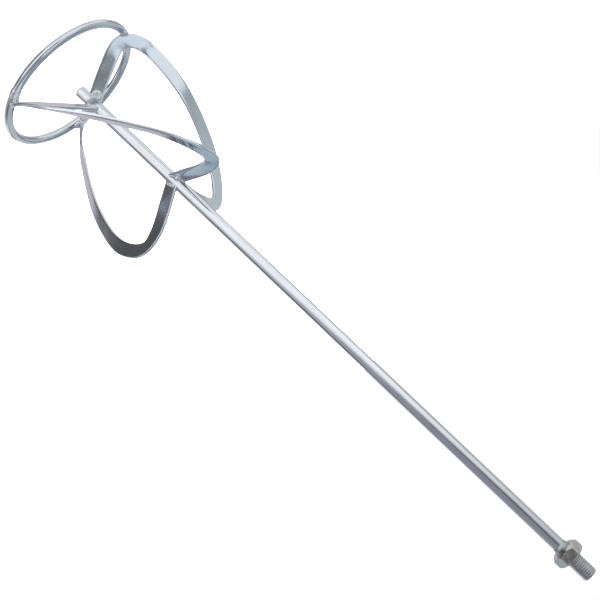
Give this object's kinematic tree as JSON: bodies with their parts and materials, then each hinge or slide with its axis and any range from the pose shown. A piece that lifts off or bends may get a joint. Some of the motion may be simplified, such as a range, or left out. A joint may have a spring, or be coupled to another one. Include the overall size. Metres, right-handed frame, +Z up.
{
  "type": "mortar mixing paddle",
  "caption": "Zinc-plated steel mixing paddle: long round shaft with a hexagon and threaded drive end, and a cage of twisted flat blades welded to a bottom ring.",
  "frame": {"origin": "on the shaft's axis, on the shoulder of the hexagon that seats against the drill's spindle, where the threaded stud starts", "axes": "+Z up the stud, so the shaft and the cage hang below; -X along the lower spoke of blade_1"},
  "size_m": [0.1728, 0.1778, 0.6611],
  "materials": {
    "shaft_zinc": "bright zinc plated round bar",
    "strip_zinc": "bright zinc plated flat strip with soft mill texture",
    "ring_zinc": "bright zinc plated round bar, bent to a ring",
    "bolt_zinc": "zinc plated forged hexagon with rolled thread",
    "weld_zinc": "rippled weld metal under zinc plating"
  },
  "bodies": {
    "root": {"drive_bolt": "bolt_zinc", "shaft": "shaft_zinc", "shaft_weld": "weld_zinc", "ring": "ring_zinc", "ring_seam_weld": "weld_zinc", "blade_1": "strip_zinc", "lower_hub_weld_1": "weld_zinc", "upper_hub_weld_1": "weld_zinc", "ring_weld_1": "weld_zinc", "blade_2": "strip_zinc", "lower_hub_weld_2": "weld_zinc", "upper_hub_weld_2": "weld_zinc", "ring_weld_2": "weld_zinc", "blade_3": "strip_zinc", "lower_hub_weld_3": "weld_zinc", "upper_hub_weld_3": "weld_zinc", "ring_weld_3": "weld_zinc"}
  },
  "joints": []
}
